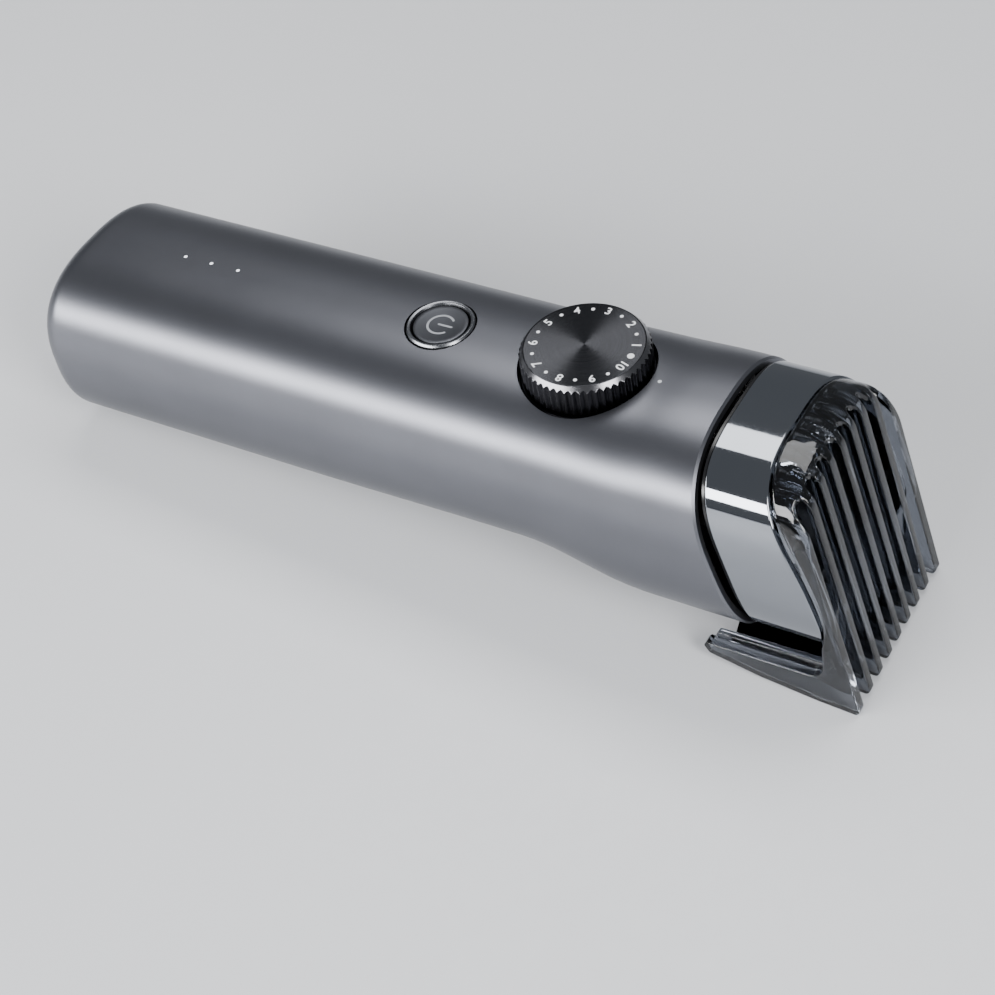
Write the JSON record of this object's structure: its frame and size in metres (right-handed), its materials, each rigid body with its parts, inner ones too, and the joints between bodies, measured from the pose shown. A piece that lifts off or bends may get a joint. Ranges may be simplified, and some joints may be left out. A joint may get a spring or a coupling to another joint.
{
  "type": "beard trimmer",
  "caption": "Cordless beard trimmer: dark metal sleeve, power button, length dial that drives a clear sliding comb, chrome head band and a motor-driven blade pair.",
  "frame": {"origin": "bottom centre of the bounding box, level with the tips of the comb", "axes": "+X along the sleeve towards the head, +Z to the side with the dial and button, Y across"},
  "size_m": [0.1628, 0.0408, 0.0503],
  "materials": {
    "sleeve_metal": "bead-blasted and anodised dark grey",
    "band_chrome": "polished dark chrome",
    "comb_plastic": "clear smoke-grey moulding, polished",
    "dial_black": "black anodised, spun top, fluted edge",
    "button_metal": "black satin",
    "bright_ring": "polished ring",
    "black_plastic": "fine moulded texture",
    "white_plastic": "natural acetal",
    "clear_light": "milky light guide",
    "spring_steel": "plain",
    "blade_steel": "ground, with sharpened teeth",
    "motor_steel": "zinc plated",
    "rotor_copper": "wound copper on a laminated core",
    "magnet": "ferrite",
    "seal_rubber": "silicone",
    "board": "solder mask on glass-fibre board",
    "battery": "shrink wrap over a steel can"
  },
  "bodies": {
    "housing": {"body_sleeve": "sleeve_metal", "end_cap": "black_plastic", "end_cap_seal": "seal_rubber", "charging_socket": "spring_steel", "inner_frame": "black_plastic", "frame_cover": "black_plastic", "cover_screw_1": "spring_steel", "cover_screw_2": "spring_steel", "cover_screw_3": "spring_steel", "cover_screw_4": "spring_steel", "battery_cell": "battery", "battery_tab_rear": "spring_steel", "battery_tab_front": "spring_steel", "circuit_board": "board", "power_switch": "black_plastic", "charge_light_1": "white_plastic", "charge_light_2": "white_plastic", "charge_light_3": "white_plastic", "light_guide": "clear_light", "button_ring": "bright_ring", "button_seal": "seal_rubber", "dial_seat": "dial_black", "dial_seal": "seal_rubber", "click_spring": "spring_steel", "head_band": "band_chrome", "front_bezel": "black_plastic", "cutter_frame": "black_plastic", "fixed_blade": "blade_steel", "blade_spring": "spring_steel", "blade_screw_left": "spring_steel", "blade_screw_right": "spring_steel", "motor_can": "motor_steel", "motor_end_bell": "black_plastic", "motor_magnet_upper": "magnet", "motor_magnet_lower": "magnet"},
    "power_button": {"button_cap": "button_metal", "switch_plunger": "white_plastic"},
    "length_dial": {"dial_knurl": "dial_black", "dial_plate": "dial_black", "dial_shaft": "white_plastic", "click_wheel": "white_plastic"},
    "comb_slider": {"comb_carriage": "black_plastic"},
    "comb": {"comb": "comb_plastic"},
    "cutter_drive": {"moving_blade": "blade_steel", "blade_carrier": "white_plastic"},
    "motor_shaft": {"motor_shaft": "spring_steel", "motor_rotor": "rotor_copper", "eccentric": "white_plastic"}
  },
  "joints": [
    {"name": "button_press", "type": "slide", "parent": "housing", "child": "power_button", "axis": [0, 0, -1], "range_m": [0, 0.0004], "stiffness_N_per_m": 1500},
    {"name": "dial_turn", "type": "hinge", "parent": "housing", "child": "length_dial", "pos_m": [0.0267, 0, 0.0458], "axis": [0, 0, 1], "range_deg": [-342, 0]},
    {"name": "comb_slide", "type": "slide", "parent": "housing", "child": "comb_slider", "axis": [1, 0, 0], "range_m": [0, 0.0095]},
    {"name": "comb_pull_off", "type": "slide", "parent": "comb_slider", "child": "comb", "axis": [1, 0, 0], "range_m": [0, 0.045]},
    {"name": "blade_stroke", "type": "slide", "parent": "housing", "child": "cutter_drive", "axis": [0, 1, 0], "range_m": [-0.0007, 0.0007]},
    {"name": "motor_spin", "type": "hinge", "parent": "housing", "child": "motor_shaft", "pos_m": [0.0367, 0, 0.0253], "axis": [1, 0, 0], "continuous": true}
  ],
  "couplings": [
    {"joint": "dial_turn", "follows": "comb_slide", "rad_per_m": -628.3}
  ]
}
